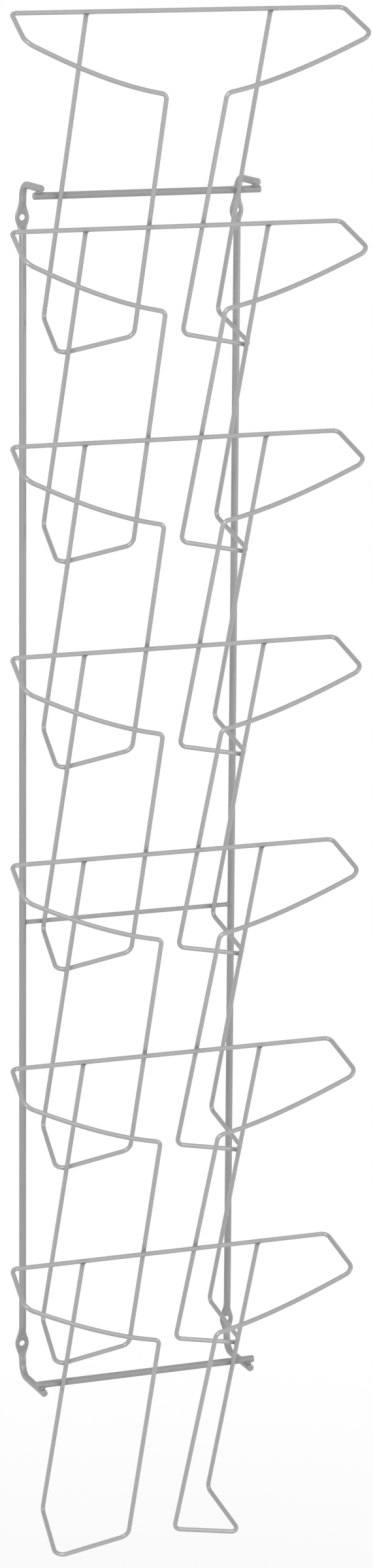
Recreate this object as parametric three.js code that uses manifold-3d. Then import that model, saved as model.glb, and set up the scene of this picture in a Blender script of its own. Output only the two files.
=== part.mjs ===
// Wall rack for periodicals: seven sloping wire pockets welded in a cascade to a wire back frame.
// Units are millimetres. +Z is up, +Y points into the wall and the rack faces -Y.
// The origin is on the wall plane, midway between the two upper screw eyes.
import * as THREE from 'three';
import { mergeVertices } from 'three/addons/utils/BufferGeometryUtils.js';
import Module from 'manifold-3d';

// Wire sizes, and the seam left wherever two wires are welded together
const POCKET_WIRE = 3.2;
const FRAME_WIRE = 5;
const WELD_SEAM = 0.3;

// The cascade of pockets
const POCKET_COUNT = 7;
const POCKET_PITCH = 144.5;
const POCKET_TILT = THREE.MathUtils.degToRad(22);

// One pocket. Half widths are measured from its middle, drops from its rail down along its back.
const RAIL_HALF = 119.5;
const ARM_HALF = 124;
const ARM_LENGTH = 42.3;
const FRONT_HALF_TOP = 21.6;
const FRONT_HALF_FOOT = 17.8;
const FRONT_DROP = 36.6;
const SHOULDER_HALF = 62;
const SHOULDER_DROP = 31;
const HEEL_HALF = 64.6;
const HEEL_DROP = 231;
const BACK_SPREAD = 1.7;
const TOE_BEYOND_HEEL = 6.8;
const FOOT_RISE = 11.8;

// Bend radii of the pocket wire, to its centre line
const RAIL_BEND = 4.8;
const ARM_BEND = 7;
const FRONT_BEND = 4.5;
const FOOT_BEND = 6.5;
const TOE_BEND = 7;
const HEEL_BEND = 4.5;

// The back frame. The end bars cross the first and last pockets' back wires, the middle bar a pocket's heels.
const UPRIGHT_HALF = 79.4;
const LEG_BEND = 9;
const LEG_OVERHANG = 2.5;
const BAR_OVERHANG = 4;
const TOP_BAR_DROP = 138.8;
const BOTTOM_BAR_BELOW_HEEL = 17.4;
const MIDDLE_BAR_POCKET = 4;
const MIDDLE_BAR_ABOVE_BEND = 0.5;

// The flattened screw eyes
const EYE_FROM_LEG = 23;
const EYE_WIDTH = 10;
const EYE_LENGTH = 17;
const EYE_BLEND = 2.5;
const EYE_SLOPE = 6;
const EYE_THICKNESS = 2.5;
const EYE_HOLE = 4.4;

// Facets: sides of a wire, rings in a bend and in a shoulder curve, steps of an eye's side, sides of its hole
const WIRE_SIDES = 12;
const BEND_RINGS = 4;
const SHOULDER_RINGS = 7;
const EYE_SIDE_STEPS = 8;
const HOLE_SIDES = 20;

// Fits within a pocket, and between each pocket and the next
const TILT_SIN = Math.sin(POCKET_TILT);
const TILT_COS = Math.cos(POCKET_TILT);
const POCKET_DEPTH = POCKET_PITCH * TILT_SIN - POCKET_WIRE - WELD_SEAM;
const PITCH_DROP = POCKET_PITCH * TILT_COS;
const BACK_HALF_TOP = HEEL_HALF + BACK_SPREAD;
const TOE_HALF = HEEL_HALF + TOE_BEYOND_HEEL;
const FOOT_DROP = HEEL_DROP - FOOT_RISE;

// Fits between the pockets and the back frame
const MIDDLE_BAR_BEHIND = POCKET_WIRE + WELD_SEAM;
const MIDDLE_BAR_DROP = HEEL_DROP - HEEL_BEND - MIDDLE_BAR_ABOVE_BEND;
const END_BAR_BEHIND = (POCKET_WIRE + FRAME_WIRE) / 2 + WELD_SEAM;
const BOTTOM_BAR_DROP = HEEL_DROP - PITCH_DROP + BOTTOM_BAR_BELOW_HEEL;
const BAR_INSIDE_LEG = FRAME_WIRE + WELD_SEAM;

// Places in the rack, from the wall plane and the upper eyes
const UPRIGHT_Y = -FRAME_WIRE / 2;
const RAIL_Y = UPRIGHT_Y - MIDDLE_BAR_DROP * TILT_SIN - MIDDLE_BAR_BEHIND * TILT_COS;
const TOP_LEG_Z = EYE_FROM_LEG;
const FIRST_RAIL_Z = TOP_LEG_Z - BAR_INSIDE_LEG + TOP_BAR_DROP * TILT_COS - END_BAR_BEHIND * TILT_SIN;
const TOP_BAR = pocketPoint(railHeight(0), 0, -END_BAR_BEHIND, TOP_BAR_DROP);
const BOTTOM_BAR = pocketPoint(railHeight(POCKET_COUNT - 1), 0, -END_BAR_BEHIND, BOTTOM_BAR_DROP);
const MIDDLE_BAR = pocketPoint(railHeight(MIDDLE_BAR_POCKET - 1), 0, -MIDDLE_BAR_BEHIND, MIDDLE_BAR_DROP);
const BOTTOM_LEG_Z = BOTTOM_BAR.z - BAR_INSIDE_LEG;
const LOWER_EYE_Z = BOTTOM_LEG_Z + EYE_FROM_LEG;

const COATED_STEEL = new THREE.MeshStandardMaterial({
  name: 'silver_coat',
  color: 0xa6a7a8,
  roughness: 0.4,
  metalness: 0.35,
});

const wasm = await Module();
wasm.setup();

// A wire's centre line: one ring of the sweep at each station, and none along the straight runs
class WireCurve extends THREE.Curve {
  constructor(stations) {
    super();
    this.stations = stations;
  }

  get steps() {
    return this.stations.length - 1;
  }

  nearest(t) {
    return this.stations[Math.round(t * this.steps)];
  }

  getPoint(t, target = new THREE.Vector3()) {
    return target.copy(this.nearest(t).point);
  }

  getTangent(t, target = new THREE.Vector3()) {
    return target.copy(this.nearest(t).tangent);
  }

  getUtoTmapping(u) {
    return u;
  }
}

// Stations of a round bend of the given radius at a corner between two straight runs
function bendStations(before, corner, after, radius) {
  const incoming = corner.clone().sub(before).normalize();
  const outgoing = after.clone().sub(corner).normalize();
  const turn = incoming.angleTo(outgoing);
  const setback = radius * Math.tan(turn / 2);
  const start = corner.clone().addScaledVector(incoming, -setback);
  const inward = outgoing.clone().addScaledVector(incoming, -outgoing.dot(incoming)).normalize();
  return Array.from({ length: BEND_RINGS + 1 }, (_, ring) => {
    const angle = (turn * ring) / BEND_RINGS;
    const point = start.clone()
      .addScaledVector(incoming, radius * Math.sin(angle))
      .addScaledVector(inward, radius * (1 - Math.cos(angle)));
    const tangent = incoming.clone().multiplyScalar(Math.cos(angle)).addScaledVector(inward, Math.sin(angle));
    return { point, tangent };
  });
}

// Stations of a whole wire from its corners. The first and last are its plain ends, and a corner with a
// curve in place of a radius follows that curve.
function wireStations(corners) {
  const stations = [];
  corners.forEach((corner, index) => {
    if (corner.curve) {
      const inner = SHOULDER_RINGS - 1;
      for (let ring = 1; ring <= inner; ring += 1) {
        const t = ring / SHOULDER_RINGS;
        stations.push({ point: corner.curve.getPoint(t), tangent: corner.curve.getTangent(t) });
      }
      return;
    }
    const before = corners[index - 1];
    const after = corners[index + 1];
    if (!before || !after) {
      const from = before ? before.at : corner.at;
      const to = before ? corner.at : after.at;
      stations.push({ point: corner.at, tangent: to.clone().sub(from).normalize() });
      return;
    }
    const comingFrom = before.curve ? before.curve.v1 : before.at;
    const goingTo = after.curve ? after.curve.v1 : after.at;
    stations.push(...bendStations(comingFrom, corner.at, goingTo, corner.radius));
  });
  return stations;
}

// A round wire swept along its stations, closed at both ends. A full circle gets two sides per segment.
function sweepWire(corners, diameter) {
  const path = new WireCurve(wireStations(corners));
  const section = new THREE.Shape();
  section.absarc(0, 0, diameter / 2, 0, Math.PI * 2);
  return new THREE.ExtrudeGeometry(section, {
    steps: path.steps,
    curveSegments: WIRE_SIDES / 2,
    extrudePath: path,
    bevelEnabled: false,
  });
}

function straightWire(from, to, diameter) {
  return sweepWire([{ at: from }, { at: to }], diameter);
}

// Solid joins and cuts
function toSolid(geometry) {
  const bare = geometry.clone();
  bare.deleteAttribute('normal');
  bare.deleteAttribute('uv');
  const welded = mergeVertices(bare, 1e-4);
  return new wasm.Manifold(new wasm.Mesh({
    numProp: 3,
    vertProperties: new Float32Array(welded.attributes.position.array),
    triVerts: new Uint32Array(welded.index.array),
  }));
}

function toGeometry(solid) {
  const mesh = solid.getMesh();
  const geometry = new THREE.BufferGeometry();
  geometry.setAttribute('position', new THREE.BufferAttribute(new Float32Array(mesh.vertProperties), 3));
  geometry.setIndex(new THREE.BufferAttribute(new Uint32Array(mesh.triVerts), 1));
  geometry.computeVertexNormals();
  return geometry;
}

function piece(name, geometry) {
  const mesh = new THREE.Mesh(geometry, COATED_STEEL);
  mesh.name = name;
  return mesh;
}

// Height of a pocket's rail, counted from 0 at the top
function railHeight(index) {
  return FIRST_RAIL_Z - index * POCKET_PITCH;
}

// A point of a pocket: across its width, forward from its back plane, and down along its back
function pocketPoint(railZ, across, forward, drop) {
  return new THREE.Vector3(
    across,
    RAIL_Y + drop * TILT_SIN - forward * TILT_COS,
    railZ - drop * TILT_COS - forward * TILT_SIN,
  );
}

// One half of a pocket's wire, from the end welded under the rail round to the rail's corner
function pocketHalf(railZ, side) {
  const at = (across, forward, drop) => pocketPoint(railZ, side * across, forward, drop);
  const frontTop = at(FRONT_HALF_TOP, POCKET_DEPTH, FRONT_DROP);
  const armEnd = at(ARM_HALF, ARM_LENGTH, 0);
  const bowShare = (ARM_HALF - SHOULDER_HALF) / (ARM_HALF - FRONT_HALF_TOP);
  const bow = at(SHOULDER_HALF, THREE.MathUtils.lerp(ARM_LENGTH, POCKET_DEPTH, bowShare), SHOULDER_DROP);
  return [
    { at: at(BACK_HALF_TOP, 0, POCKET_WIRE / 2 + WELD_SEAM) },
    { at: at(HEEL_HALF, 0, HEEL_DROP), radius: HEEL_BEND },
    { at: at(TOE_HALF, POCKET_DEPTH, HEEL_DROP), radius: TOE_BEND },
    { at: at(FRONT_HALF_FOOT, POCKET_DEPTH, FOOT_DROP), radius: FOOT_BEND },
    { at: frontTop, radius: FRONT_BEND },
    { curve: new THREE.QuadraticBezierCurve3(frontTop, bow, armEnd) },
    { at: armEnd, radius: ARM_BEND },
    { at: at(RAIL_HALF, 0, 0), radius: RAIL_BEND },
  ];
}

function buildPocket(index) {
  const railZ = railHeight(index);
  const left = pocketHalf(railZ, -1);
  const right = pocketHalf(railZ, 1).reverse();
  return piece(`pocket_${index + 1}`, sweepWire([...left, ...right], POCKET_WIRE));
}

// A straight bar across the rack, centred on a point of its axis
function buildBar(name, axis, half, diameter) {
  const from = axis.clone().setX(-half);
  const to = axis.clone().setX(half);
  return piece(name, straightWire(from, to, diameter));
}

// The flattened part of an upright round one screw hole, with its back flat on the wall. Each side bows out
// from the wire's width to the eye's, so its control points stand past the width that the curve reaches.
function eyePad() {
  const halfWire = FRAME_WIRE / 2;
  const halfLength = EYE_LENGTH / 2;
  const bowed = (2 * EYE_WIDTH - halfWire) / 3;
  const outline = new THREE.Shape();
  outline.moveTo(-halfWire, -halfLength);
  outline.lineTo(halfWire, -halfLength);
  outline.bezierCurveTo(bowed, -halfLength / 2, bowed, halfLength / 2, halfWire, halfLength);
  outline.lineTo(-halfWire, halfLength);
  outline.bezierCurveTo(-bowed, halfLength / 2, -bowed, -halfLength / 2, -halfWire, -halfLength);
  const pad = new THREE.ExtrudeGeometry(outline, {
    depth: EYE_THICKNESS,
    curveSegments: EYE_SIDE_STEPS,
    bevelEnabled: false,
  });
  return pad.rotateX(Math.PI / 2);
}

// What is pressed away in front of an eye: level over its flat, sloping out to the round wire at both ends
function eyePress() {
  const flat = EYE_LENGTH / 2 - EYE_BLEND;
  const round = flat + EYE_SLOPE;
  const profile = new THREE.Shape();
  profile.moveTo(-flat, -EYE_THICKNESS);
  profile.lineTo(flat, -EYE_THICKNESS);
  profile.lineTo(round, -FRAME_WIRE);
  profile.lineTo(round, -2 * FRAME_WIRE);
  profile.lineTo(-round, -2 * FRAME_WIRE);
  profile.lineTo(-round, -FRAME_WIRE);
  const press = new THREE.ExtrudeGeometry(profile, { depth: EYE_WIDTH, bevelEnabled: false });
  return press.rotateY(Math.PI / 2).translate(-EYE_WIDTH / 2, 0, 0);
}

// The wire is pressed flat, then its spread-out pad goes in and the hole through it
function addEye(upright, x, z) {
  const through = FRAME_WIRE * 4;
  const press = eyePress().translate(x, 0, z);
  const pad = eyePad().translate(x, 0, z);
  const hole = new THREE.CylinderGeometry(EYE_HOLE / 2, EYE_HOLE / 2, through, HOLE_SIDES).translate(x, 0, z);
  return upright.subtract(toSolid(press)).add(toSolid(pad)).subtract(toSolid(hole));
}

function buildUpright(name, side) {
  const x = side * UPRIGHT_HALF;
  const pastBar = FRAME_WIRE / 2 + LEG_OVERHANG;
  const wire = sweepWire([
    { at: new THREE.Vector3(x, TOP_BAR.y - pastBar, TOP_LEG_Z) },
    { at: new THREE.Vector3(x, UPRIGHT_Y, TOP_LEG_Z), radius: LEG_BEND },
    { at: new THREE.Vector3(x, UPRIGHT_Y, BOTTOM_LEG_Z), radius: LEG_BEND },
    { at: new THREE.Vector3(x, BOTTOM_BAR.y - pastBar, BOTTOM_LEG_Z) },
  ], FRAME_WIRE);
  const upperEye = addEye(toSolid(wire), x, 0);
  return piece(name, toGeometry(addEye(upperEye, x, LOWER_EYE_Z)));
}

const END_BAR_HALF = UPRIGHT_HALF + BAR_OVERHANG;
const MIDDLE_BAR_HALF = UPRIGHT_HALF - FRAME_WIRE / 2 - WELD_SEAM;

const rack = new THREE.Group();
rack.name = 'periodical_display_rack';
rack.add(
  buildUpright('left_upright', -1),
  buildUpright('right_upright', 1),
  buildBar('top_bar', TOP_BAR, END_BAR_HALF, FRAME_WIRE),
  buildBar('middle_bar', MIDDLE_BAR, MIDDLE_BAR_HALF, POCKET_WIRE),
  buildBar('bottom_bar', BOTTOM_BAR, END_BAR_HALF, FRAME_WIRE),
);
for (let index = 0; index < POCKET_COUNT; index += 1) {
  rack.add(buildPocket(index));
}

export default rack;
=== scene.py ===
"""A periodical display rack for a wall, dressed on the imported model's frame.

The rack is a cascade of wire pockets welded to a wire back frame and finished in a silver powder coat.
Lengths in the size classes are in millimetres. Meshes are in metres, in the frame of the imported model:
+Z is up, +Y points into the wall and the rack faces -Y.
"""

from __future__ import annotations

import logging
import math
from dataclasses import dataclass, field, replace
from enum import Enum
from typing import Any, Optional, Sequence

import bpy
import numpy as np
from mathutils import Matrix

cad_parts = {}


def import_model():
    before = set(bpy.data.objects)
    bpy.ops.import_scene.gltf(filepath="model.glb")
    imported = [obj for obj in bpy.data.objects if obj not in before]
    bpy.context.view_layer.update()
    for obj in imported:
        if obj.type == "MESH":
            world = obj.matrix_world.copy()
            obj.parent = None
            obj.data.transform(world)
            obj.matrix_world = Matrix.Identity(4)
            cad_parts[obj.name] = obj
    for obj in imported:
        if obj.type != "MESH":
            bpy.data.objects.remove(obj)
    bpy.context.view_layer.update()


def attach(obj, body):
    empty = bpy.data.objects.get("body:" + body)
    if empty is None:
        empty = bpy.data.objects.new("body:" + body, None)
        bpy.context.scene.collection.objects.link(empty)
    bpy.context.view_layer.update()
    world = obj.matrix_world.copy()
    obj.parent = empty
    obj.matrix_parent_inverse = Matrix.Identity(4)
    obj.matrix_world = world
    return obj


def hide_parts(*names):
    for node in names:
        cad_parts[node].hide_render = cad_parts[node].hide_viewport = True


LOG = logging.getLogger("periodical_rack")
Array = np.ndarray
MM = 0.001
SHARP_EDGE_DEG = 50.0
WHITE = (1.0, 1.0, 1.0, 1.0)
ACROSS = np.array([1.0, 0.0, 0.0])
UP = np.array([0.0, 0.0, 1.0])
# A direction that no weld's axis runs along
OFF_AXIS = np.array([0.31, 0.84, 0.44])
# The power of a round or oval section
OVAL = 2.0
# A Mix node has its own inputs and output for each kind of value, and these are the ones for colours
MIX_FACTOR, MIX_FIRST, MIX_SECOND, MIX_RESULT = 0, 6, 7, 2


class Side(Enum):
    """The two mirrored halves of the rack, as seen from the front."""

    LEFT = -1
    RIGHT = 1


class WeldKind(Enum):
    """How two wires meet at a weld."""

    CROSS = "cross"
    BUTT = "butt"


class CoatShade(Enum):
    """The coat's two shades, each as its plain colour and its paler colour, which stands for wear polish and
    painted light together.
    """

    FRAME = ("#9f9fa0", "#a9a9aa")
    POCKETS = ("#ababac", "#b2b2b3")


@dataclass(frozen=True)
class WireGauge:
    """Diameters of the two wires, the seam between welded wires, and the fineness of a swept wire.

    A bowed run leaves out bow_trim of its rings at each end, where the bends at its two corners lie.
    """

    pocket: float = 3.2
    frame: float = 5.0
    seam: float = 0.3
    sides: int = 18
    bend_rings: int = 12
    bow_rings: int = 36
    bow_trim: int = 4
    run_step: float = 4.0
    end_round: float = 0.7
    end_rings: int = 3


@dataclass(frozen=True)
class Corner:
    """One corner of a wire's centre line: a plain end, a round bend, or the pull of a bowed run."""

    at: Array
    radius: float = 0.0
    bow: bool = False


@dataclass
class Surface:
    """A mesh as whole arrays: vertices in millimetres, quads as index rows, and triangles for its caps."""

    vertices: Array
    quads: Array
    triangles: Array = field(default_factory=lambda: np.zeros((0, 3), dtype=np.int64))

    def joined(self, others: Sequence["Surface"]) -> "Surface":
        """Puts other surfaces into the same mesh.

        Args:
            others: Surfaces that keep their own vertices.

        Returns:
            One surface holding them all.
        """
        parts = [self, *others]
        starts = np.cumsum([0] + [len(part.vertices) for part in parts[:-1]])
        return Surface(
            np.concatenate([part.vertices for part in parts]),
            np.concatenate([part.quads + start for part, start in zip(parts, starts)]),
            np.concatenate([part.triangles + start for part, start in zip(parts, starts)]),
        )


@dataclass(frozen=True)
class Section:
    """Sections along a wire: half widths, half heights, and powers, where 2 is an oval and 4 is boxy."""

    widths: Array
    heights: Array
    powers: Array


@dataclass(frozen=True)
class Weld:
    """A weld: its centre, the direction from one wire to the other, and the thinner wire's radius."""

    centre: Array
    axis: Array
    kind: WeldKind
    radius: float


def unit(vectors: Array) -> Array:
    """Scales vectors, held in the last axis, to length one."""
    return vectors / np.linalg.norm(vectors, axis=-1, keepdims=True)


def smooth_step(value: Array) -> Array:
    """Eases from 0 to 1 by 3t^2 - 2t^3, with t held between 0 and 1."""
    t = np.clip(value, 0.0, 1.0)
    return t * t * (3.0 - 2.0 * t)


def round_bend(before: Array, corner: Array, after: Array, radius: float, rings: int) -> tuple[Array, Array]:
    """Points and tangents of a round bend at a corner.

    The bend starts radius * tan(turn / 2) before the corner. At angle a it lies radius * sin(a) along the
    incoming run and radius * (1 - cos(a)) towards the inside.

    Args:
        before: A point on the incoming run.
        corner: Where the two runs would cross.
        after: A point on the outgoing run.
        radius: Bend radius of the centre line.
        rings: Number of steps in the bend.

    Returns:
        Points and unit tangents, one row each.
    """
    incoming = unit(corner - before)
    outgoing = unit(after - corner)
    turn = math.acos(float(np.clip(incoming @ outgoing, -1.0, 1.0)))
    inward = unit(outgoing - (outgoing @ incoming) * incoming)
    start = corner - radius * math.tan(turn / 2.0) * incoming
    angle = np.linspace(0.0, turn, rings + 1)[:, None]
    points = start + radius * (np.sin(angle) * incoming + (1.0 - np.cos(angle)) * inward)
    return points, np.cos(angle) * incoming + np.sin(angle) * inward


def bowed_run(start: Array, pull: Array, end: Array, rings: int) -> tuple[Array, Array]:
    """Inner points and tangents of a quadratic curve, (1-t)^2 start + 2t(1-t) pull + t^2 end.

    Args:
        start: Corner where the curve would start.
        pull: Point that bows the curve.
        end: Corner where the curve would end.
        rings: Number of points along it.

    Returns:
        Points and unit tangents, without the two corners.
    """
    t = np.linspace(0.0, 1.0, rings + 2)[1:-1, None]
    points = (1 - t) ** 2 * start + 2 * t * (1 - t) * pull + t**2 * end
    return points, unit(2 * (1 - t) * (pull - start) + 2 * t * (end - pull))


def wire_line(corners: Sequence[Corner], gauge: WireGauge) -> tuple[Array, Array]:
    """Centre line of a bent wire, with rings along its straight runs too.

    Args:
        corners: Corners in order. A bowed corner pulls the run between its two neighbours.
        gauge: Fineness of the bends and runs.

    Returns:
        Points and unit tangents, one row each.
    """
    points: list[Array] = []
    tangents: list[Array] = []
    last = len(corners) - 1
    for index, corner in enumerate(corners):
        if corner.bow:
            part = bowed_run(corners[index - 1].at, corner.at, corners[index + 1].at, gauge.bow_rings)
            keep = slice(gauge.bow_trim, -gauge.bow_trim)
            part = (part[0][keep], part[1][keep])
        elif index in (0, last):
            way = corners[1].at - corner.at if index == 0 else corner.at - corners[last - 1].at
            part = (corner.at[None], unit(way)[None])
        else:
            before, after = corners[index - 1].at, corners[index + 1].at
            part = round_bend(before, corner.at, after, corner.radius, gauge.bend_rings)
        if points and not corner.bow and not corners[index - 1].bow:
            count = int(np.linalg.norm(part[0][0] - points[-1][-1]) // gauge.run_step)
            share = (np.arange(1, count + 1) / (count + 1))[:, None]
            points.append(points[-1][-1] + share * (part[0][0] - points[-1][-1]))
            tangents.append(np.repeat(part[1][:1], count, axis=0))
        points.append(part[0])
        tangents.append(part[1])
    return np.concatenate(points), np.concatenate(tangents)


def carried_normals(tangents: Array, first: Array) -> Array:
    """Normals carried along a line without twist.

    Each normal is the last one less its part along the new tangent, scaled to length one.

    Args:
        tangents: Unit tangents along the line.
        first: Rough direction of the first normal.

    Returns:
        One unit normal per tangent.
    """
    normals = np.empty_like(tangents)
    normals[0] = unit(first - (first @ tangents[0]) * tangents[0])
    for index in range(1, len(tangents)):
        flat = normals[index - 1] - (normals[index - 1] @ tangents[index]) * tangents[index]
        normals[index] = unit(flat)
    return normals


def signed_power(values: Array, power: Array) -> Array:
    """Raises values to a power and keeps their signs."""
    return np.sign(values) * np.abs(values) ** power


def sweep(points: Array, tangents: Array, section: Section, first: Array, gauge: WireGauge) -> Surface:
    """Carries a section along a line and closes it with rounded ends.

    A ring's vertex at angle a lies width * |cos(a)|^(2 / power) along the normal and
    height * |sin(a)|^(2 / power) along the binormal, each with its own sign. At an end a few more rings step
    out by end_round * sin(b) while the section draws in by end_round * (1 - cos(b)).

    Args:
        points: Centre line.
        tangents: Unit tangents of the centre line.
        section: The section at each point.
        first: Rough direction of the first normal.
        gauge: Number of sides, and the rounding of a cut end.

    Returns:
        The closed surface of the wire.
    """
    step = np.linspace(0.0, math.pi / 2.0, gauge.end_rings + 1)[1:]
    out, pull = gauge.end_round * np.sin(step)[:, None], gauge.end_round * (1.0 - np.cos(step))

    def extended(rows: Array) -> Array:
        """Repeats the first and last row for the rings of the rounded ends."""
        ends = [np.repeat(row, gauge.end_rings, axis=0) for row in (rows[:1], rows[-1:])]
        return np.concatenate([ends[0], rows, ends[1]])

    normals = extended(carried_normals(tangents, first))
    binormals = np.cross(extended(tangents), normals)
    points = np.concatenate([(points[0] - out * tangents[0])[::-1], points, points[-1] + out * tangents[-1]])
    drawn = np.concatenate([pull[::-1], np.zeros(len(tangents)), pull])
    angle = np.linspace(0.0, 2.0 * math.pi, gauge.sides, endpoint=False)
    bulge = 2.0 / extended(section.powers)[:, None]
    across = (extended(section.widths) - drawn)[:, None] * signed_power(np.cos(angle), bulge)
    over = (extended(section.heights) - drawn)[:, None] * signed_power(np.sin(angle), bulge)
    rings = points[:, None] + across[..., None] * normals[:, None] + over[..., None] * binormals[:, None]
    return closed_tube(rings, points[0], points[-1])


def closed_tube(rings: Array, first_cap: Array, last_cap: Array) -> Surface:
    """Faces of a stack of rings, closed by a fan at each end.

    Args:
        rings: Array of rings, ring by side by coordinate, running anticlockwise about the way forward.
        first_cap: Middle of the first ring's cap.
        last_cap: Middle of the last ring's cap.

    Returns:
        The closed surface, with faces outwards.
    """
    count, sides = rings.shape[:2]
    index = np.arange(count * sides).reshape(count, sides)
    after = np.roll(index, -1, axis=1)
    quads = np.stack([index[:-1], after[:-1], after[1:], index[1:]], axis=-1).reshape(-1, 4)
    tips = np.full(sides, count * sides)
    first_fan = np.stack([after[0], index[0], tips], axis=-1)
    last_fan = np.stack([index[-1], after[-1], tips + 1], axis=-1)
    vertices = np.concatenate([rings.reshape(-1, 3), first_cap[None], last_cap[None]])
    return Surface(vertices, quads, np.concatenate([first_fan, last_fan]))


def round_wire(corners: Sequence[Corner], diameter: float, gauge: WireGauge, first: Array) -> Surface:
    """A round wire bent through its corners.

    Args:
        corners: Corners of its centre line.
        diameter: Wire diameter.
        gauge: Fineness of the sweep.
        first: Rough direction of the first normal.

    Returns:
        The wire's surface, whose rounded ends stop at the first and last corner.
    """
    points, tangents = wire_line(corners, gauge)
    points[0] += gauge.end_round * tangents[0]
    points[-1] -= gauge.end_round * tangents[-1]
    half = np.full(len(points), diameter / 2.0)
    return sweep(points, tangents, Section(half, half, np.full(len(points), OVAL)), first, gauge)


def make_object(name: str, surface: Surface, attributes: dict[str, Array]) -> bpy.types.Object:
    """Puts a surface into a mesh object at the origin.

    Args:
        name: Object name.
        surface: Vertices in millimetres and faces.
        attributes: Number per vertex, by attribute name.

    Returns:
        The new object, smooth shaded up to a sharp edge.
    """
    mesh = bpy.data.meshes.new(name)
    faces = surface.quads.tolist() + surface.triangles.tolist()
    mesh.from_pydata((surface.vertices * MM).tolist(), [], faces)
    mesh.polygons.foreach_set("use_smooth", np.ones(len(mesh.polygons), dtype=bool))
    mesh.set_sharp_from_angle(angle=math.radians(SHARP_EDGE_DEG))
    for key, values in attributes.items():
        layer = mesh.attributes.new(key, "FLOAT", "POINT")
        layer.data.foreach_set("value", values.astype(np.float32))
    mesh.update()
    obj = bpy.data.objects.new(name, mesh)
    bpy.context.scene.collection.objects.link(obj)
    return obj


def linear_colour(hex_colour: str) -> tuple[float, float, float, float]:
    """Turns an sRGB hex colour such as "#b4b5b6" into linear red, green and blue, by the sRGB curve.

    Args:
        hex_colour: Colour as written in a picture.

    Returns:
        Three linear values and a full alpha.
    """
    srgb = np.array([int(hex_colour[i:i + 2], 16) for i in (1, 3, 5)]) / 255.0
    linear = np.where(srgb <= 0.04045, srgb / 12.92, ((srgb + 0.055) / 1.055) ** 2.4)
    return float(linear[0]), float(linear[1]), float(linear[2]), 1.0


def add_node(tree: bpy.types.NodeTree, kind: str, links: dict[Any, Any], **settings: Any) -> bpy.types.Node:
    """Adds a node, sets it and links its inputs.

    Args:
        tree: Node tree to add to.
        kind: Blender's node type.
        links: Input name or number to an output socket, or to a constant for the socket itself.
        settings: Properties of the node.

    Returns:
        The new node.
    """
    node = tree.nodes.new(kind)
    for key, value in settings.items():
        setattr(node, key, value)
    for key, value in links.items():
        if isinstance(value, bpy.types.NodeSocket):
            tree.links.new(value, node.inputs[key])
        else:
            node.inputs[key].default_value = value
    return node


def seen_directly(tree: bpy.types.NodeTree) -> bpy.types.NodeSocket:
    """One where a camera, glossy or transmission ray looks at the surface, otherwise zero.

    Args:
        tree: Node tree to add to.

    Returns:
        The socket that holds it.
    """
    path = add_node(tree, "ShaderNodeLightPath", {})
    first = add_node(
        tree, "ShaderNodeMath",
        {0: path.outputs["Is Camera Ray"], 1: path.outputs["Is Glossy Ray"]}, operation="MAXIMUM")
    both = add_node(
        tree, "ShaderNodeMath",
        {0: first.outputs[0], 1: path.outputs["Is Transmission Ray"]}, operation="MAXIMUM")
    return both.outputs[0]


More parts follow.
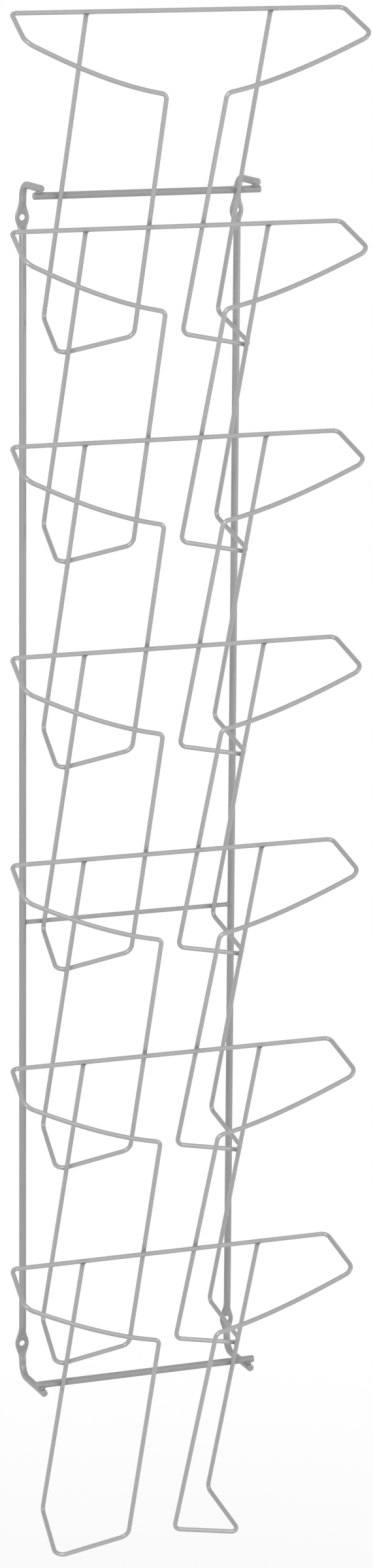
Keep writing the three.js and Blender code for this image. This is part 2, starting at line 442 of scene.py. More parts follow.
@dataclass(frozen=True)
class SilverPowderCoat:
    """Silver powder coat baked on steel wire, a shade deeper on the frame's thick wire than on the thin one.

    The eye sees a pale satin grey: a soft highlight broken by the coat's orange peel, a faint sparkle of
    aluminium flake, a duller rim where the coat gathers at welds, and a slight polish from wear. The paler
    colour laid on with that polish is partly painted light, and where it is left off, on a pocket's shoulders
    and arms, the plainer colour is painted shade.
    """

    shade: CoatShade
    hollow: str = "#98989a"
    metallic: float = 0.3
    roughness: float = 0.36
    roughness_spread: float = 0.06
    weld_dulling: float = 0.14
    rub_polish: float = 0.08
    flake_mm: float = 0.45
    flake_tones: tuple[float, float] = (0.93, 1.07)
    drift_mm: float = 45.0
    drift_detail: float = 2.0
    drift_tones: tuple[float, float] = (0.93, 1.05)
    peel_mm: float = 1.3
    peel_detail: float = 3.0
    peel_height_mm: float = 0.03
    peel_strength: float = 0.5

    def build(self) -> bpy.types.Material:
        """Makes the node material.

        Returns:
            The material, with every pattern on Object coordinates, in metres.
        """
        material = bpy.data.materials.new(f"silver_powder_coat_on_{self.shade.name.lower()}")
        material.use_nodes = True
        tree = material.node_tree
        shader = tree.nodes["Principled BSDF"]
        place = add_node(tree, "ShaderNodeTexCoord", {}).outputs["Object"]
        # A noise cell is about one over its scale, so each scale is one over a real size in metres.
        # Real flake is about a tenth of this size, and is drawn coarser so that it shows.
        drift = add_node(
            tree, "ShaderNodeTexNoise",
            {"Vector": place, "Scale": 1 / (self.drift_mm * MM), "Detail": self.drift_detail})
        peel = add_node(
            tree, "ShaderNodeTexNoise",
            {"Vector": place, "Scale": 1 / (self.peel_mm * MM), "Detail": self.peel_detail})
        flake = add_node(
            tree, "ShaderNodeTexVoronoi", {"Vector": place, "Scale": 1 / (self.flake_mm * MM)})
        weld = add_node(tree, "ShaderNodeAttribute", {}, attribute_name="weld").outputs["Fac"]
        wear_and_shade = add_node(tree, "ShaderNodeAttribute", {}, attribute_name="wear_and_shade").outputs["Fac"]

        # The paler second colour is wear polish and painted light at once; a pocket's shoulders and arms,
        # left out of the mask, keep the plain colour as painted shade
        plain, polished_and_lit = self.shade.value
        worn_and_shaded = add_node(
            tree, "ShaderNodeMix",
            {MIX_FACTOR: wear_and_shade, MIX_FIRST: linear_colour(plain), MIX_SECOND: linear_colour(polished_and_lit)},
            data_type="RGBA")
        dulled = add_node(
            tree, "ShaderNodeMix",
            {MIX_FACTOR: weld, MIX_FIRST: worn_and_shaded.outputs[MIX_RESULT], MIX_SECOND: linear_colour(self.hollow)},
            data_type="RGBA")
        sparkle = add_node(
            tree, "ShaderNodeMapRange",
            {"Value": flake.outputs["Color"], "To Min": self.flake_tones[0], "To Max": self.flake_tones[1]})
        shade = add_node(
            tree, "ShaderNodeMapRange",
            {"Value": drift.outputs["Fac"], "To Min": self.drift_tones[0], "To Max": self.drift_tones[1]})
        tone = add_node(
            tree, "ShaderNodeMath", {0: sparkle.outputs[0], 1: shade.outputs[0]}, operation="MULTIPLY")
        colour = add_node(
            tree, "ShaderNodeVectorMath", {0: dulled.outputs[MIX_RESULT], "Scale": tone.outputs[0]},
            operation="SCALE")

        smooth, rough = self.roughness - self.roughness_spread, self.roughness + self.roughness_spread
        grain = add_node(
            tree, "ShaderNodeMapRange", {"Value": peel.outputs["Fac"], "To Min": smooth, "To Max": rough})
        dull = add_node(
            tree, "ShaderNodeMath", {0: weld, 1: self.weld_dulling, 2: grain.outputs[0]},
            operation="MULTIPLY_ADD")
        gloss = add_node(
            tree, "ShaderNodeMath", {0: wear_and_shade, 1: -self.rub_polish, 2: dull.outputs[0]},
            operation="MULTIPLY_ADD")
        bump = add_node(
            tree, "ShaderNodeBump",
            {"Height": peel.outputs["Fac"], "Strength": self.peel_strength,
             "Distance": self.peel_height_mm * MM})
        tree.links.new(colour.outputs[0], shader.inputs["Base Color"])
        tree.links.new(gloss.outputs[0], shader.inputs["Roughness"])
        tree.links.new(bump.outputs[0], shader.inputs["Normal"])
        shader.inputs["Metallic"].default_value = self.metallic
        return material


@dataclass(frozen=True)
class PalePaint:
    """Matt white paint on the studio floor: plain, pale and without gloss.

    The eye sees white that keeps a faint shadow under the rack and runs out into the white behind it.
    """

    name: str = "matt_white_floor_paint"
    colour: str = "#f4f4f4"
    white_share: float = 0.8
    fade_from_mm: float = 200.0
    fade_to_mm: float = 1400.0

    def build(self) -> bpy.types.Material:
        """Makes the floor's material, which is mostly plain white where it is seen directly.

        Returns:
            The material.
        """
        material = bpy.data.materials.new(self.name)
        material.use_nodes = True
        tree = material.node_tree
        tree.nodes.clear()
        place = add_node(tree, "ShaderNodeTexCoord", {}).outputs["Object"]
        # Distance on the level from the middle of the floor, which lies under the rack
        level = add_node(tree, "ShaderNodeVectorMath", {0: place, 1: (1.0, 1.0, 0.0)}, operation="MULTIPLY")
        away = add_node(tree, "ShaderNodeVectorMath", {0: level.outputs[0]}, operation="LENGTH")
        fade = add_node(
            tree, "ShaderNodeMapRange",
            {"Value": away.outputs["Value"], "To Min": self.white_share, "To Max": 1.0,
             "From Min": self.fade_from_mm * MM, "From Max": self.fade_to_mm * MM},
            interpolation_type="SMOOTHSTEP")
        share = add_node(
            tree, "ShaderNodeMath", {0: fade.outputs[0], 1: seen_directly(tree)}, operation="MULTIPLY")
        paint = add_node(tree, "ShaderNodeBsdfDiffuse", {"Color": linear_colour(self.colour)})
        white = add_node(tree, "ShaderNodeEmission", {"Color": WHITE, "Strength": 1.0})
        mix = add_node(
            tree, "ShaderNodeMixShader", {0: share.outputs[0], 1: paint.outputs[0], 2: white.outputs[0]})
        add_node(tree, "ShaderNodeOutputMaterial", {"Surface": mix.outputs[0]})
        return material


@dataclass(frozen=True)
class PocketSizes:
    """One pocket's sizes. Half widths are from its middle, drops from its rail down along its back."""

    tilt_deg: float = 22.0
    pitch: float = 144.5
    count: int = 7
    rail_half: float = 119.5
    arm_half: float = 124.0
    arm_length: float = 42.3
    front_half_top: float = 21.6
    front_half_foot: float = 17.8
    front_drop: float = 36.6
    shoulder_half: float = 62.0
    shoulder_drop: float = 31.0
    heel_half: float = 64.6
    heel_drop: float = 231.0
    back_spread: float = 1.7
    toe_beyond_heel: float = 6.8
    foot_rise: float = 11.8
    rail_bend: float = 4.8
    arm_bend: float = 7.0
    front_bend: float = 4.5
    foot_bend: float = 6.5
    toe_bend: float = 7.0
    heel_bend: float = 4.5

    @property
    def back_half_top(self) -> float:
        """Half the distance between the back wires at the rail."""
        return self.heel_half + self.back_spread

    @property
    def toe_half(self) -> float:
        """Half the distance between the toes."""
        return self.heel_half + self.toe_beyond_heel

    @property
    def foot_drop(self) -> float:
        """Drop of the bend between a front wire and its foot."""
        return self.heel_drop - self.foot_rise


@dataclass(frozen=True)
class BackFrameSizes:
    """The back frame's sizes, with its screw eyes."""

    upright_half: float = 79.4
    leg_bend: float = 9.0
    leg_overhang: float = 2.5
    bar_overhang: float = 4.0
    top_bar_drop: float = 138.8
    bottom_bar_below_heel: float = 17.4
    middle_bar_pocket: int = 4
    middle_bar_above_bend: float = 0.5
    eye_from_leg: float = 23.0
    eye_width: float = 10.0
    eye_length: float = 17.0
    eye_thickness: float = 2.5
    eye_hole: float = 4.4


@dataclass(frozen=True)
class RackLayout:
    """Places that follow from the sizes: where the pockets, bars and legs stand."""

    gauge: WireGauge = WireGauge()
    pocket: PocketSizes = PocketSizes()
    frame: BackFrameSizes = BackFrameSizes()

    @property
    def tilt(self) -> float:
        """The pockets' lean from upright, in radians."""
        return math.radians(self.pocket.tilt_deg)

    @property
    def depth(self) -> float:
        """A pocket's depth between centre lines, so that the next pocket's rail lies on its front wires."""
        return self.pocket.pitch * math.sin(self.tilt) - self.gauge.pocket - self.gauge.seam

    @property
    def upright_y(self) -> float:
        """Where the uprights' axes stand in front of the wall."""
        return -self.gauge.frame / 2.0

    @property
    def top_leg_z(self) -> float:
        """Height of the top legs over the upper screw eyes."""
        return self.frame.eye_from_leg

    @property
    def bar_inside_leg(self) -> float:
        """Distance from a leg's axis to that of the bar welded across it."""
        return self.gauge.frame + self.gauge.seam

    @property
    def bottom_leg_z(self) -> float:
        """Height of the bottom legs."""
        return float(self.bottom_bar[2]) - self.bar_inside_leg

    @property
    def lower_eye_z(self) -> float:
        """Height of the lower screw eyes."""
        return self.bottom_leg_z + self.frame.eye_from_leg

    @property
    def end_bar_half(self) -> float:
        """Half the length of the top and bottom bars."""
        return self.frame.upright_half + self.frame.bar_overhang

    @property
    def middle_bar_half(self) -> float:
        """Half the length of the middle bar, which ends a seam short of each upright."""
        return self.frame.upright_half - self.gauge.frame / 2.0 - self.gauge.seam

    @property
    def end_bar_behind(self) -> float:
        """How far behind the back wires' plane the axes of the top and bottom bars lie."""
        return (self.gauge.pocket + self.gauge.frame) / 2.0 + self.gauge.seam

    @property
    def bottom_bar_drop(self) -> float:
        """How far down the last pocket's back the bottom bar crosses, under the heels of the pocket above."""
        step = self.pocket.pitch * math.cos(self.tilt)
        return self.pocket.heel_drop - step + self.frame.bottom_bar_below_heel

    @property
    def middle_bar_drop(self) -> float:
        """How far down its pocket's back the middle bar crosses, just above the heels."""
        return self.pocket.heel_drop - self.pocket.heel_bend - self.frame.middle_bar_above_bend

    @property
    def rail_y(self) -> float:
        """Where the rails stand in front of the wall, so that the middle bar touches the back wires."""
        behind = self.gauge.pocket + self.gauge.seam
        return self.upright_y - self.middle_bar_drop * math.sin(self.tilt) - behind * math.cos(self.tilt)

    def rail_z(self, index: int) -> float:
        """Height of a pocket's rail, set by the first pocket's place on the top bar.

        Args:
            index: Pocket, counted from 0 at the top.

        Returns:
            The height of the rail's axis.
        """
        first = self.top_leg_z - self.bar_inside_leg
        first += self.frame.top_bar_drop * math.cos(self.tilt) - self.end_bar_behind * math.sin(self.tilt)
        return first - index * self.pocket.pitch

    def spot(self, index: int, across: float, forward: float, drop: float) -> Array:
        """A point of a pocket.

        Args:
            index: Pocket, counted from 0 at the top.
            across: Distance from the pocket's middle, to the right.
            forward: Distance from the plane of its back wires.
            drop: Distance from its rail down along its back.

        Returns:
            The point in the rack's frame.
        """
        lean, up = math.sin(self.tilt), math.cos(self.tilt)
        return np.array([
            across,
            self.rail_y + drop * lean - forward * up,
            self.rail_z(index) - drop * up - forward * lean,
        ])

    @property
    def forward(self) -> Array:
        """The direction square to a pocket's back, out of the rack."""
        return np.array([0.0, -math.cos(self.tilt), -math.sin(self.tilt)])

    @property
    def down(self) -> Array:
        """The direction from a pocket's rail down along its back."""
        return np.array([0.0, math.sin(self.tilt), -math.cos(self.tilt)])

    def back_half(self, drop: float) -> float:
        """Half the distance between a pocket's back wires at a drop."""
        size = self.pocket
        return size.back_half_top + (size.heel_half - size.back_half_top) * drop / size.heel_drop

    def front_half(self, drop: float) -> float:
        """Half the distance between a pocket's front wires, which close in evenly down to the feet.

        Args:
            drop: Distance from the rail down along the back.

        Returns:
            The half distance there.
        """
        size = self.pocket
        share = (drop - size.front_drop) / (size.foot_drop - size.front_drop)
        return size.front_half_top + (size.front_half_foot - size.front_half_top) * share

    @property
    def top_bar(self) -> Array:
        """Middle of the top bar's axis."""
        return self.spot(0, 0.0, -self.end_bar_behind, self.frame.top_bar_drop)

    @property
    def bottom_bar(self) -> Array:
        """Middle of the bottom bar's axis."""
        return self.spot(self.pocket.count - 1, 0.0, -self.end_bar_behind, self.bottom_bar_drop)

    @property
    def middle_bar(self) -> Array:
        """Middle of the middle bar's axis."""
        behind = self.gauge.pocket + self.gauge.seam
        return self.spot(self.frame.middle_bar_pocket - 1, 0.0, -behind, self.middle_bar_drop)


class WeldPlan:
    """Every weld of the rack, worked out from where its wires meet."""

    def __init__(self, layout: RackLayout) -> None:
        """Lists the welds.

        Args:
            layout: Places of the rack's wires.
        """
        self.layout = layout
        self.welds: list[Weld] = []
        for side in Side:
            for index in range(layout.pocket.count):
                self.add_rail_butt(index, side)
                if index + 1 < layout.pocket.count:
                    self.add_cascade(index, side)
            self.add_frame(side)
        self.centres = np.array([weld.centre for weld in self.welds])

    def add_rail_butt(self, index: int, side: Side) -> None:
        """Adds the weld at the end of a back wire, under its own rail.

        Args:
            index: Pocket, counted from 0 at the top.
            side: Which half of the pocket.
        """
        at = self.layout
        end = at.spot(index, side.value * at.pocket.back_half_top, 0.0, at.gauge.pocket / 2.0)
        self.welds.append(Weld(end, -at.down, WeldKind.BUTT, at.gauge.pocket / 2.0))

    def add_cascade(self, index: int, side: Side) -> None:
        """Adds the welds of a pocket's front wire and foot against the next pocket.

        The front wire meets the next rail at a drop of pitch * cos(tilt). The foot meets the next back wire
        where both are equally far from the middle.

        Args:
            index: The upper pocket, counted from 0 at the top.
            side: Which half of the pocket.
        """
        at = self.layout
        reach = (at.gauge.pocket + at.gauge.seam) / 2.0
        rail_drop = at.pocket.pitch * math.cos(at.tilt)
        front = at.spot(index, side.value * at.front_half(rail_drop), at.depth + reach, rail_drop)
        self.welds.append(Weld(front, at.forward, WeldKind.CROSS, at.gauge.pocket / 2.0))
        size = at.pocket
        across = at.back_half(size.heel_drop - rail_drop)
        share = (size.toe_half - across) / (size.toe_half - size.front_half_foot)
        drop = size.heel_drop + (size.foot_drop - size.heel_drop) * share
        foot = at.spot(index, side.value * across, at.depth + reach, drop)
        self.welds.append(Weld(foot, at.forward, WeldKind.CROSS, at.gauge.pocket / 2.0))

    def add_frame(self, side: Side) -> None:
        """Adds the welds of the bars against the legs, the pockets' back wires and the uprights.

        Args:
            side: Which half of the rack.
        """
        at = self.layout
        sign = side.value
        near = -(at.gauge.pocket + at.gauge.seam) / 2.0
        last = at.pocket.count - 1
        middle = at.frame.middle_bar_pocket - 1
        for bar, leg_z in ((at.top_bar, at.top_leg_z), (at.bottom_bar, at.bottom_leg_z)):
            leg = np.array([sign * at.frame.upright_half, bar[1], (bar[2] + leg_z) / 2.0])
            self.welds.append(Weld(leg, UP, WeldKind.CROSS, at.gauge.frame / 2.0))
        drops = ((0, at.frame.top_bar_drop), (last, at.bottom_bar_drop), (middle, at.middle_bar_drop))
        for index, drop in drops:
            back = at.spot(index, sign * at.back_half(drop), near, drop)
            self.welds.append(Weld(back, at.forward, WeldKind.CROSS, at.gauge.pocket / 2.0))
        end = at.middle_bar
        end[0] = sign * (at.frame.upright_half - at.gauge.frame / 2.0)
        self.welds.append(Weld(end, sign * ACROSS, WeldKind.BUTT, at.gauge.pocket / 2.0))

    def nearness(self, vertices: Array, reach: float = 3.0) -> Array:
        """How near each vertex is to a weld, by exp(-(distance / reach)^2).

        Args:
            vertices: Points in millimetres.
            reach: Distance at which it has faded to about a third.

        Returns:
            One value from 0 to 1 per vertex.
        """
        squared = np.full(len(vertices), np.inf)
        for centre in self.centres:
            squared = np.minimum(squared, np.sum((vertices - centre) ** 2, axis=1))
        return np.exp(-squared / reach**2)


@dataclass
class RackPiece:
    """What every sub-assembly shares: the layout, the weld plan and the coat."""

    layout: RackLayout
    plan: WeldPlan
    coat: bpy.types.Material

    def dress(self, name: str, surface: Surface, wear_and_shade: Array, node: Optional[str]) -> bpy.types.Object:
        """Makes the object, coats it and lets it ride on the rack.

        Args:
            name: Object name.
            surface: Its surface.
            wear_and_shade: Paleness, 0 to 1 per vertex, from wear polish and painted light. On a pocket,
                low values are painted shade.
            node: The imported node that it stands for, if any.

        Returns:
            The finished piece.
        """
        obj = make_object(name, surface, {"weld": self.plan.nearness(surface.vertices), "wear_and_shade": wear_and_shade})
        obj.data.materials.append(self.coat)
        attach(obj, "root")
        if node:
            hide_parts(node)
        LOG.info("%s: %d vertices", name, len(surface.vertices))
        return obj


@dataclass
class Pocket(RackPiece):
    """One pocket: a single wire bent through a rail, arms, shoulders, front wires, feet and back wires."""

    index: int = 0
    back_pale_reach: float = 3.0
    front_pale_reach: float = 6.0

    def half(self, side: Side) -> list[Corner]:
        """Corners of half the wire, from the end under the rail round to the rail's corner.

        Args:
            side: Which half.

        Returns:
            The corners in order.
        """
        size, layout, gauge = self.layout.pocket, self.layout, self.layout.gauge

        def at(across: float, forward: float, drop: float) -> Array:
            """A point of this half."""
            return layout.spot(self.index, side.value * across, forward, drop)

        depth = layout.depth
        # The pull of the shoulder's bow lies as deep as the straight line from arm to front wire does there
        share = (size.arm_half - size.shoulder_half) / (size.arm_half - size.front_half_top)
        bow_depth = size.arm_length + (depth - size.arm_length) * share
        return [
            Corner(at(size.back_half_top, 0.0, gauge.pocket / 2.0 + gauge.seam)),
            Corner(at(size.heel_half, 0.0, size.heel_drop), size.heel_bend),
            Corner(at(size.toe_half, depth, size.heel_drop), size.toe_bend),
            Corner(at(size.front_half_foot, depth, size.foot_drop), size.foot_bend),
            Corner(at(size.front_half_top, depth, size.front_drop), size.front_bend),
            Corner(at(size.shoulder_half, bow_depth, size.shoulder_drop), bow=True),
            Corner(at(size.arm_half, size.arm_length, 0.0), size.arm_bend),
            Corner(at(size.rail_half, 0.0, 0.0), size.rail_bend),
        ]

    def build(self) -> bpy.types.Object:
        """Sweeps the wire and dresses it.

        The paler tone, wear polish and painted light together, fades from the back's plane by
        exp(-(forward / back_pale_reach)^2), and eases in over front_pale_reach towards the front wires. The
        shoulders and arms between keep the plainer colour, which is painted shade.

        Returns:
            The pocket.
        """
        corners = self.half(Side.LEFT) + self.half(Side.RIGHT)[::-1]
        gauge = self.layout.gauge
        surface = round_wire(corners, gauge.pocket, gauge, ACROSS)
        from_rail = surface.vertices - self.layout.spot(self.index, 0.0, 0.0, 0.0)
        forward, drop = from_rail @ self.layout.forward, from_rail @ self.layout.down
        # Paleness of the coat: wear polish and painted light on the rail, back and front wires, and painted
        # shade on the shoulders and arms left between
        on_back = np.exp(-((forward / self.back_pale_reach) ** 2))
        on_front = smooth_step((forward - self.layout.depth) / self.front_pale_reach + 1.0)
        on_front *= smooth_step((drop - self.layout.pocket.front_drop) / self.front_pale_reach + 1.0)
        name = f"pocket_{self.index + 1}"
        return self.dress(f"{name}_wire", surface, np.maximum(on_back, on_front), name)


@dataclass(frozen=True)
class EyeForm:
    """How a screw eye is pressed out of the wire, and how fine its surface is.

    Shares are of the eye's length. The wire's end goes in under the eye's own surface by overlap, and lies
    lower than it by tuck.
    """

    reach_share: float = 0.4
    swell_share: float = 0.62
    flat_share: float = 0.3
    slope_share: float = 0.5
    flat_power: float = 3.6
    hole_edge: float = 0.45
    tuck: float = 0.03
    overlap: float = 1.5
    run_step: float = 1.0
    sides: int = 28
    spokes: int = 96
    face_steps: int = 14
    edge_steps: int = 5
    halvings: int = 40
    rim_limit: float = 0.9995


@dataclass
class Upright(RackPiece):
    """A wall upright: a bracket of wire whose ends turn forwards, with two flattened screw eyes."""

    side: Side = Side.LEFT
    form: EyeForm = EyeForm()

    @property
    def eye_reach(self) -> float:
        """How far from its middle an eye's own surface ends and the pressed wire's goes on."""
        return self.layout.frame.eye_length * self.form.reach_share

    def pressed(self, away: Array) -> Section:
        """Sections of the upright near an eye.

        The wire swells to the eye's width over swell_share of the eye's length. It stays flat over flat_share
        of it, and eases to round over the next slope_share.

        Args:
            away: Distances along the upright from the eye's middle.

        Returns:
            One section per distance.
        """
        frame, form, half = self.layout.frame, self.form, self.layout.gauge.frame / 2.0
        share = away / frame.eye_length
        swell = 1.0 - smooth_step(share / form.swell_share)
        press = 1.0 - smooth_step((share - form.flat_share) / form.slope_share)
        return Section(
            half + swell * (frame.eye_width / 2.0 - half),
            half + press * (frame.eye_thickness / 2.0 - half),
            OVAL + press * (form.flat_power - OVAL),
        )

    def pressed_run(self, corners: Sequence[Corner]) -> Surface:
        """Sweeps one stretch of the upright, pressed towards the eyes with its back on the wall plane.

        Args:
            corners: Corners of the stretch.

        Returns:
            The stretch's surface, whose last bit under an eye's own surface is a hair smaller than it.
        """
        gauge = replace(self.layout.gauge, run_step=self.form.run_step, sides=self.form.sides)
        points, tangents = wire_line(corners, gauge)
        away = np.minimum(np.abs(points[:, 2]), np.abs(points[:, 2] - self.layout.lower_eye_z))
        section = self.pressed(away)
        points[:, 1] += gauge.frame / 2.0 - section.heights
        under = np.where(away < self.eye_reach, self.form.tuck, 0.0)
        section = Section(section.widths - under, section.heights - under, section.powers)
        return sweep(points, tangents, section, ACROSS, gauge)

    def eye_outline(self, angle: Array) -> Array:
        """Distance from the middle of an eye to its outline, found by halving.

        Args:
            angle: Directions in the wall plane.

        Returns:
            One distance per direction.
        """
        near, far = np.zeros(angle.shape), np.full(angle.shape, self.layout.frame.eye_length)
        for _ in range(self.form.halvings):
            middle = (near + far) / 2.0
            away = np.abs(middle * np.sin(angle))
            inside = (np.abs(middle * np.cos(angle)) < self.pressed(away).widths) & (away < self.eye_reach)
            near, far = np.where(inside, middle, near), np.where(inside, far, middle)
        return near

    def eye(self, z: float) -> Surface:
        """A flat eye round a screw hole, as one row of points for each direction from the hole's middle.

        A row runs over the front from the outline to the hole, round both edges of the hole and back to the
        outline. A face stands off the mid plane by half the thickness * (1 - |x / half width|^p)^(1 / p).

        Args:
            z: Height of the eye.

        Returns:
            The eye's surface.
        """
        frame, form = self.layout.frame, self.form
        hole, edge = frame.eye_hole / 2.0, form.hole_edge
        angle = np.linspace(0.0, 2.0 * math.pi, form.spokes, endpoint=False)[:, None]
        inwards = np.linspace(0.0, 1.0, form.face_steps)[:-1] ** 2
        face = hole + edge + (1.0 - inwards) * (self.eye_outline(angle) - hole - edge)
        turn = np.linspace(0.0, math.pi / 2.0, form.edge_steps)
        corner = np.broadcast_to(hole + edge * (1.0 - np.sin(turn)), (len(angle), len(turn)))
        sunk = np.concatenate([np.zeros(len(inwards)), edge * (1.0 - np.cos(turn))])
        radius = np.concatenate([face, corner], axis=1)
        x, up = radius * np.cos(angle), radius * np.sin(angle)
        section = self.pressed(np.abs(up))
        within = np.minimum(np.abs(x) / section.widths, form.rim_limit)
        off = section.heights * (1.0 - within**section.powers) ** (1.0 / section.powers) - sunk
        columns = [
            np.concatenate([part, other[:, ::-1]], axis=1)
            for part, other in ((x, x), (-section.heights - off, -section.heights + off), (up, up))
        ]
        rows = np.stack(columns, axis=-1) + np.array([self.side.value * frame.upright_half, 0.0, z])
        index = np.arange(rows.shape[0] * rows.shape[1]).reshape(rows.shape[:2])
        after, along = np.roll(index, -1, axis=0), np.roll(index, -1, axis=1)
        quads = np.stack([index, after, np.roll(after, -1, axis=1), along], axis=-1).reshape(-1, 4)
        return Surface(rows.reshape(-1, 3), quads)

    def build(self) -> bpy.types.Object:
        """Builds the upright between and beyond its eyes, then the eyes.

        Returns:
            The upright.
        """
        layout, frame = self.layout, self.layout.frame
        past = layout.gauge.frame / 2.0 + frame.leg_overhang - layout.gauge.end_round
        top, bottom, lower = layout.top_leg_z, layout.bottom_leg_z, layout.lower_eye_z
        clear = self.eye_reach - self.form.overlap

        def at(y: float, z: float) -> Array:
            """A point on this upright's side."""
            return np.array([self.side.value * frame.upright_half, y, z])

        wall = layout.upright_y
        above = self.pressed_run([
            Corner(at(layout.top_bar[1] - past, top)),
            Corner(at(wall, top), frame.leg_bend),
            Corner(at(wall, clear)),
        ])
        between = self.pressed_run([Corner(at(wall, -clear)), Corner(at(wall, lower + clear))])
        below = self.pressed_run([
            Corner(at(wall, lower - clear)),
            Corner(at(wall, bottom), frame.leg_bend),
            Corner(at(layout.bottom_bar[1] - past, bottom)),
        ])
        surface = above.joined([between, below, self.eye(0.0), self.eye(lower)])
        name = f"{self.side.name.lower()}_upright"
        return self.dress(f"{name}_wire", surface, np.zeros(len(surface.vertices)), name)


@dataclass
class CrossBar(RackPiece):
    """A straight bar across a pair of legs, or between the uprights."""

    name: str
    middle: Array
    half: float
    diameter: float

    def build(self) -> bpy.types.Object:
        """Sweeps the bar and dresses it.

        Returns:
            The bar.
        """
        reach = self.half * ACROSS
        corners = [Corner(self.middle - reach), Corner(self.middle + reach)]
        surface = round_wire(corners, self.diameter, self.layout.gauge, UP)
        return self.dress(f"{self.name}_wire", surface, np.zeros(len(surface.vertices)), self.name)


@dataclass
class WeldBeads(RackPiece):
    """The small beads that join the wires, each a turned form about the line from wire to wire.

    Heights and widths are shares of the thinner wire's radius. collar_below is the share of a collar's
    height that lies before the joint.
    """

    rings: int = 9
    sides: int = 20
    lens_height: float = 0.78
    lens_width: float = 0.92
    lens_power: float = 0.8
    lens_tip: float = 0.02
    collar_height: float = 1.25
    collar_below: float = 0.8
    collar_width: float = 1.01
    collar_flare: float = 0.36

    def bead(self, weld: Weld) -> Surface:
        """One bead.

        A cross weld's bead is a lens, lens_width * (1 - h^2)^lens_power wide over h from -1 to 1, that fills
        the wedge between two wires. A butt weld's bead is a collar, collar_width + collar_flare * s^2 wide
        over s from 0 to 1, that flares towards the other wire.

        Args:
            weld: Where and how the wires meet.

        Returns:
            The bead's closed surface.
        """
        h = np.linspace(-1.0, 1.0, self.rings)
        if weld.kind is WeldKind.CROSS:
            along = weld.radius * self.lens_height * h
            radii = weld.radius * self.lens_width * np.maximum(1.0 - h**2, self.lens_tip) ** self.lens_power
        else:
            share = (h + 1.0) / 2.0
            along = weld.radius * self.collar_height * (share - self.collar_below)
            radii = weld.radius * (self.collar_width + self.collar_flare * share**2)
        side = unit(np.cross(weld.axis, OFF_AXIS))
        other = np.cross(weld.axis, side)
        angle = np.linspace(0.0, 2.0 * math.pi, self.sides, endpoint=False)
        circle = np.cos(angle)[:, None] * side + np.sin(angle)[:, None] * other
        line = weld.centre + along[:, None] * weld.axis
        return closed_tube(line[:, None] + radii[:, None, None] * circle, line[0], line[-1])

    def build(self) -> bpy.types.Object:
        """Builds every bead in one piece.

        Returns:
            The beads.
        """
        beads = [self.bead(weld) for weld in self.plan.welds]
        surface = beads[0].joined(beads[1:])
        return self.dress("weld_beads", surface, np.zeros(len(surface.vertices)), None)


@dataclass(frozen=True)
class SoftLamp:
    """A square soft lamp: its name, its place, the length of its side, and its power in watts."""

    name: str
    at: tuple[float, float, float]
    side: float
    watts: float


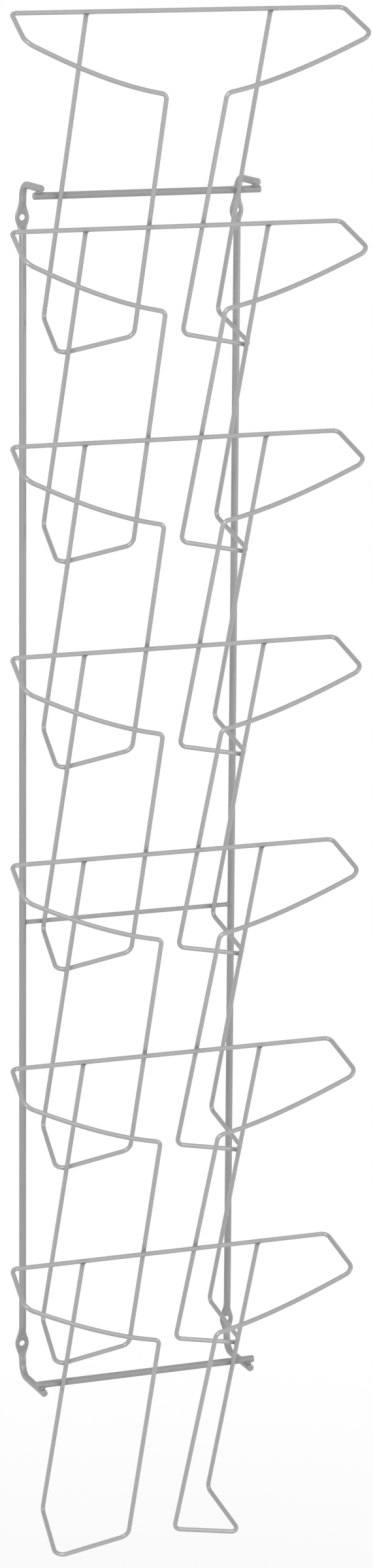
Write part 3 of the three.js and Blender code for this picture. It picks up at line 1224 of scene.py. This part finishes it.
@dataclass(frozen=True)
class Studio:
    """The plain studio: a pale floor, soft lamps and the camera at the photograph's angle."""

    floor_z: float = -1250.0
    floor_half: float = 6000.0
    camera_at: tuple[float, float, float] = (-1273.9, -3283.5, 367.5)
    camera_turn_deg: float = -21.87
    camera_lean_deg: float = 77.467
    camera_roll_deg: float = 0.409
    sensor_width: float = 36.0
    lens: float = 116.91
    shift: tuple[float, float] = (0.00127, 0.01068)
    clip_end: float = 50000.0
    sky: float = 0.55
    aim: tuple[float, float, float] = (0.0, -60.0, -400.0)
    key: SoftLamp = SoftLamp("key", (-1900.0, -2200.0, 700.0), 1400.0, 36.0)
    fill: SoftLamp = SoftLamp("fill", (2200.0, -1800.0, 0.0), 1600.0, 16.0)

    def build_floor(self) -> bpy.types.Object:
        """A square floor well under the hanging rack.

        Returns:
            The floor.
        """
        corners = np.array([[-1.0, -1.0], [1.0, -1.0], [1.0, 1.0], [-1.0, 1.0]]) * self.floor_half
        vertices = np.column_stack([corners, np.full(len(corners), self.floor_z)])
        floor = make_object("floor", Surface(vertices, np.arange(len(corners))[None]), {})
        floor.data.materials.append(PalePaint().build())
        return floor

    def build_camera(self) -> bpy.types.Object:
        """The camera, placed so that the rack's wires fall where the photograph shows them.

        Returns:
            The camera.
        """
        data = bpy.data.cameras.new("camera")
        data.sensor_width = self.sensor_width
        data.lens = self.lens
        data.shift_x, data.shift_y = self.shift
        data.clip_end = self.clip_end * MM
        camera = bpy.data.objects.new("camera", data)
        camera.matrix_world = (
            Matrix.Translation([value * MM for value in self.camera_at])
            @ Matrix.Rotation(math.radians(self.camera_turn_deg), 4, "Z")
            @ Matrix.Rotation(math.radians(self.camera_lean_deg), 4, "X")
            @ Matrix.Rotation(math.radians(self.camera_roll_deg), 4, "Z")
        )
        bpy.context.scene.collection.objects.link(camera)
        bpy.context.scene.camera = camera
        return camera

    def add_lamp(self, soft: SoftLamp) -> bpy.types.Object:
        """A lamp that faces the middle of the rack.

        Args:
            soft: Its name, place, size and power.

        Returns:
            The lamp.
        """
        data = bpy.data.lights.new(soft.name, "AREA")
        data.size = soft.side * MM
        data.energy = soft.watts
        lamp = bpy.data.objects.new(soft.name, data)
        away = unit(np.array(soft.at) - np.array(self.aim))
        side = unit(np.cross(UP, away))
        place = np.eye(4)
        place[:3] = np.column_stack([side, np.cross(away, side), away, np.array(soft.at) * MM])
        lamp.matrix_world = Matrix(place.tolist())
        bpy.context.scene.collection.objects.link(lamp)
        return lamp

    def build_light(self) -> None:
        """A white world, a broad key from the upper left and a weaker fill from the right."""
        world = bpy.data.worlds.new("studio")
        world.use_nodes = True
        tree = world.node_tree
        tree.nodes.clear()
        soft = add_node(tree, "ShaderNodeBackground", {"Color": WHITE, "Strength": self.sky})
        white = add_node(tree, "ShaderNodeBackground", {"Color": WHITE, "Strength": 1.0})
        mix = add_node(
            tree, "ShaderNodeMixShader", {0: seen_directly(tree), 1: soft.outputs[0], 2: white.outputs[0]})
        add_node(tree, "ShaderNodeOutputWorld", {"Surface": mix.outputs[0]})
        bpy.context.scene.world = world
        bpy.context.scene.view_settings.view_transform = "Standard"
        self.add_lamp(self.key)
        self.add_lamp(self.fill)


def main() -> None:
    """Loads the frame, builds the rack piece by piece and sets up the studio."""
    logging.basicConfig(level=logging.INFO, format="%(message)s")
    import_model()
    layout = RackLayout()
    plan = WeldPlan(layout)
    deep = SilverPowderCoat(CoatShade.FRAME).build()
    pale = SilverPowderCoat(CoatShade.POCKETS).build()
    studio = Studio()
    studio.build_camera()
    for side in Side:
        Upright(layout, plan, deep, side).build()
    thick, thin = layout.gauge.frame, layout.gauge.pocket
    CrossBar(layout, plan, deep, "top_bar", layout.top_bar, layout.end_bar_half, thick).build()
    CrossBar(layout, plan, pale, "middle_bar", layout.middle_bar, layout.middle_bar_half, thin).build()
    CrossBar(layout, plan, deep, "bottom_bar", layout.bottom_bar, layout.end_bar_half, thick).build()
    for index in range(layout.pocket.count):
        Pocket(layout, plan, pale, index).build()
    WeldBeads(layout, plan, pale).build()
    studio.build_floor()
    studio.build_light()


if __name__ == "__main__":
    main()
